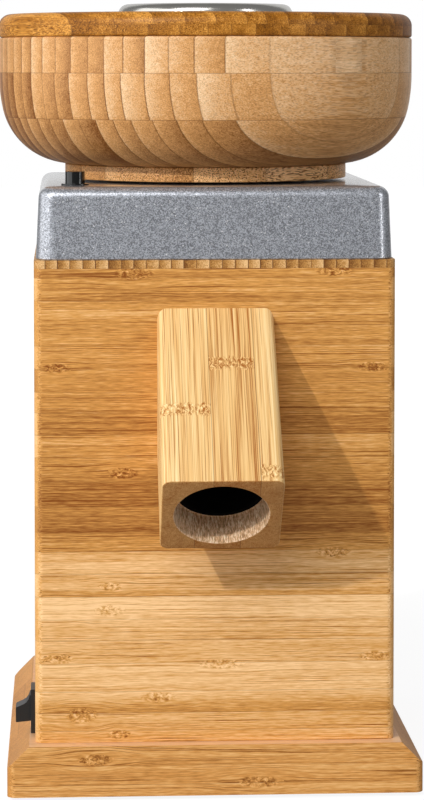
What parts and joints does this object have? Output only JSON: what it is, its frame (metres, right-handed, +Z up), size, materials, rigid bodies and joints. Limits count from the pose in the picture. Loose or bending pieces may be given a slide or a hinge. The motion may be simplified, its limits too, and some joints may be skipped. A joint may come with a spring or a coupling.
{
  "type": "electric grain mill",
  "caption": "Upright household stone mill: square wooden case on a bevelled base, cast metal cap, turned wooden hopper with lid, sloping square flour spout and side rocker switch.",
  "frame": {"origin": "on the resting plane under the feet, on the grinding axis", "axes": "+Z up along the grinding axis, -Y towards the front where the spout leaves, +X to the right seen from the front"},
  "size_m": [0.1992, 0.2582, 0.3633],
  "materials": {
    "bamboo": "satin oil",
    "spout_bamboo": "satin oil",
    "hopper_bamboo": "satin oil",
    "lid_bamboo": "satin oil",
    "cap_paint": "fine metallic",
    "medallion_metal": "satin",
    "black_gloss": "gloss",
    "black_plastic": "matte",
    "grey_plastic": "matte",
    "cast_alloy": "as cast",
    "ceramic_stone": "rough ceramic",
    "steel": "zinc plated",
    "spring_steel": "bright",
    "laminated_steel": "laminated",
    "copper_winding": "varnished",
    "rubber": "matte",
    "white_plastic": "matte",
    "capacitor_can": "matte",
    "lead_sheath": "matte"
  },
  "bodies": {
    "case": {"base_plate": "bamboo", "rubber_feet": "rubber", "foot_screws": "steel", "base_screws": "steel", "front_panel": "bamboo", "back_panel": "bamboo", "left_panel": "bamboo", "right_panel": "bamboo", "top_board": "bamboo", "top_cap": "cap_paint", "cap_screws": "steel", "spout": "spout_bamboo", "chute_liner": "black_plastic", "grinding_chamber": "cast_alloy", "chamber_screws": "steel", "shaft_seal": "rubber", "stone_springs": "spring_steel", "pin_bushing": "black_gloss", "pin_spring": "spring_steel", "switch_housing": "black_gloss", "stator_core": "laminated_steel", "stator_windings": "copper_winding", "upper_end_shield": "cast_alloy", "lower_end_shield": "cast_alloy", "upper_bearing": "steel", "lower_bearing": "steel", "tie_bolts": "steel", "thermal_cutout": "white_plastic", "run_capacitor": "capacitor_can", "capacitor_clamp": "steel", "terminal_block": "white_plastic", "cord_gland": "black_plastic", "gland_nut": "black_plastic", "internal_leads": "lead_sheath"},
    "rotor": {"motor_shaft": "steel", "rotor_core": "laminated_steel", "cooling_fan": "white_plastic", "stone_carrier": "cast_alloy", "lower_stone": "ceramic_stone", "clamp_washer": "steel", "clamp_nut": "steel"},
    "stone_carriage": {"stone_holder": "cast_alloy", "upper_stone": "ceramic_stone"},
    "hopper": {"bowl_top_layer": "hopper_bamboo", "bowl_middle_layer": "hopper_bamboo", "bowl_bottom_layer": "hopper_bamboo", "hopper_collar": "hopper_bamboo", "hopper_ring": "grey_plastic", "ring_screws": "steel", "stop_peg": "steel"},
    "lid": {"hopper_lid": "lid_bamboo", "lid_medallion": "medallion_metal"},
    "pin": {"stop_pin": "black_gloss", "pin_clip": "steel"},
    "rocker": {"switch_rocker": "black_gloss"}
  },
  "joints": [
    {"name": "stone_lift", "type": "slide", "parent": "case", "child": "stone_carriage", "axis": [0, 0, 1], "range_m": [-0.00095, 0.00095], "deforming": ["stone_springs"]},
    {"name": "hopper_turn", "type": "hinge", "parent": "stone_carriage", "child": "hopper", "pos_m": [0, 0, 0.28], "axis": [0, 0, 1], "range_deg": [-170, 170]},
    {"name": "lid_lift", "type": "slide", "parent": "hopper", "child": "lid", "axis": [0, 0, 1], "range_m": [0, 0.06]},
    {"name": "stop_pin_press", "type": "slide", "parent": "case", "child": "pin", "axis": [0, 0, -1], "range_m": [0, 0.0055], "stiffness_N_per_m": 300, "springref_m": -0.003, "deforming": ["pin_spring"]},
    {"name": "rocker_tilt", "type": "hinge", "parent": "case", "child": "rocker", "pos_m": [-0.0815, -0.072, 0.0376], "axis": [0, -1, 0], "range_deg": [0, 20]},
    {"name": "rotor_spin", "type": "hinge", "parent": "case", "child": "rotor", "pos_m": [0, 0, 0.15], "axis": [0, 0, 1], "continuous": true}
  ],
  "couplings": [
    {"joint": "stone_lift", "follows": "hopper_turn", "m_per_rad": 0.00031831}
  ]
}
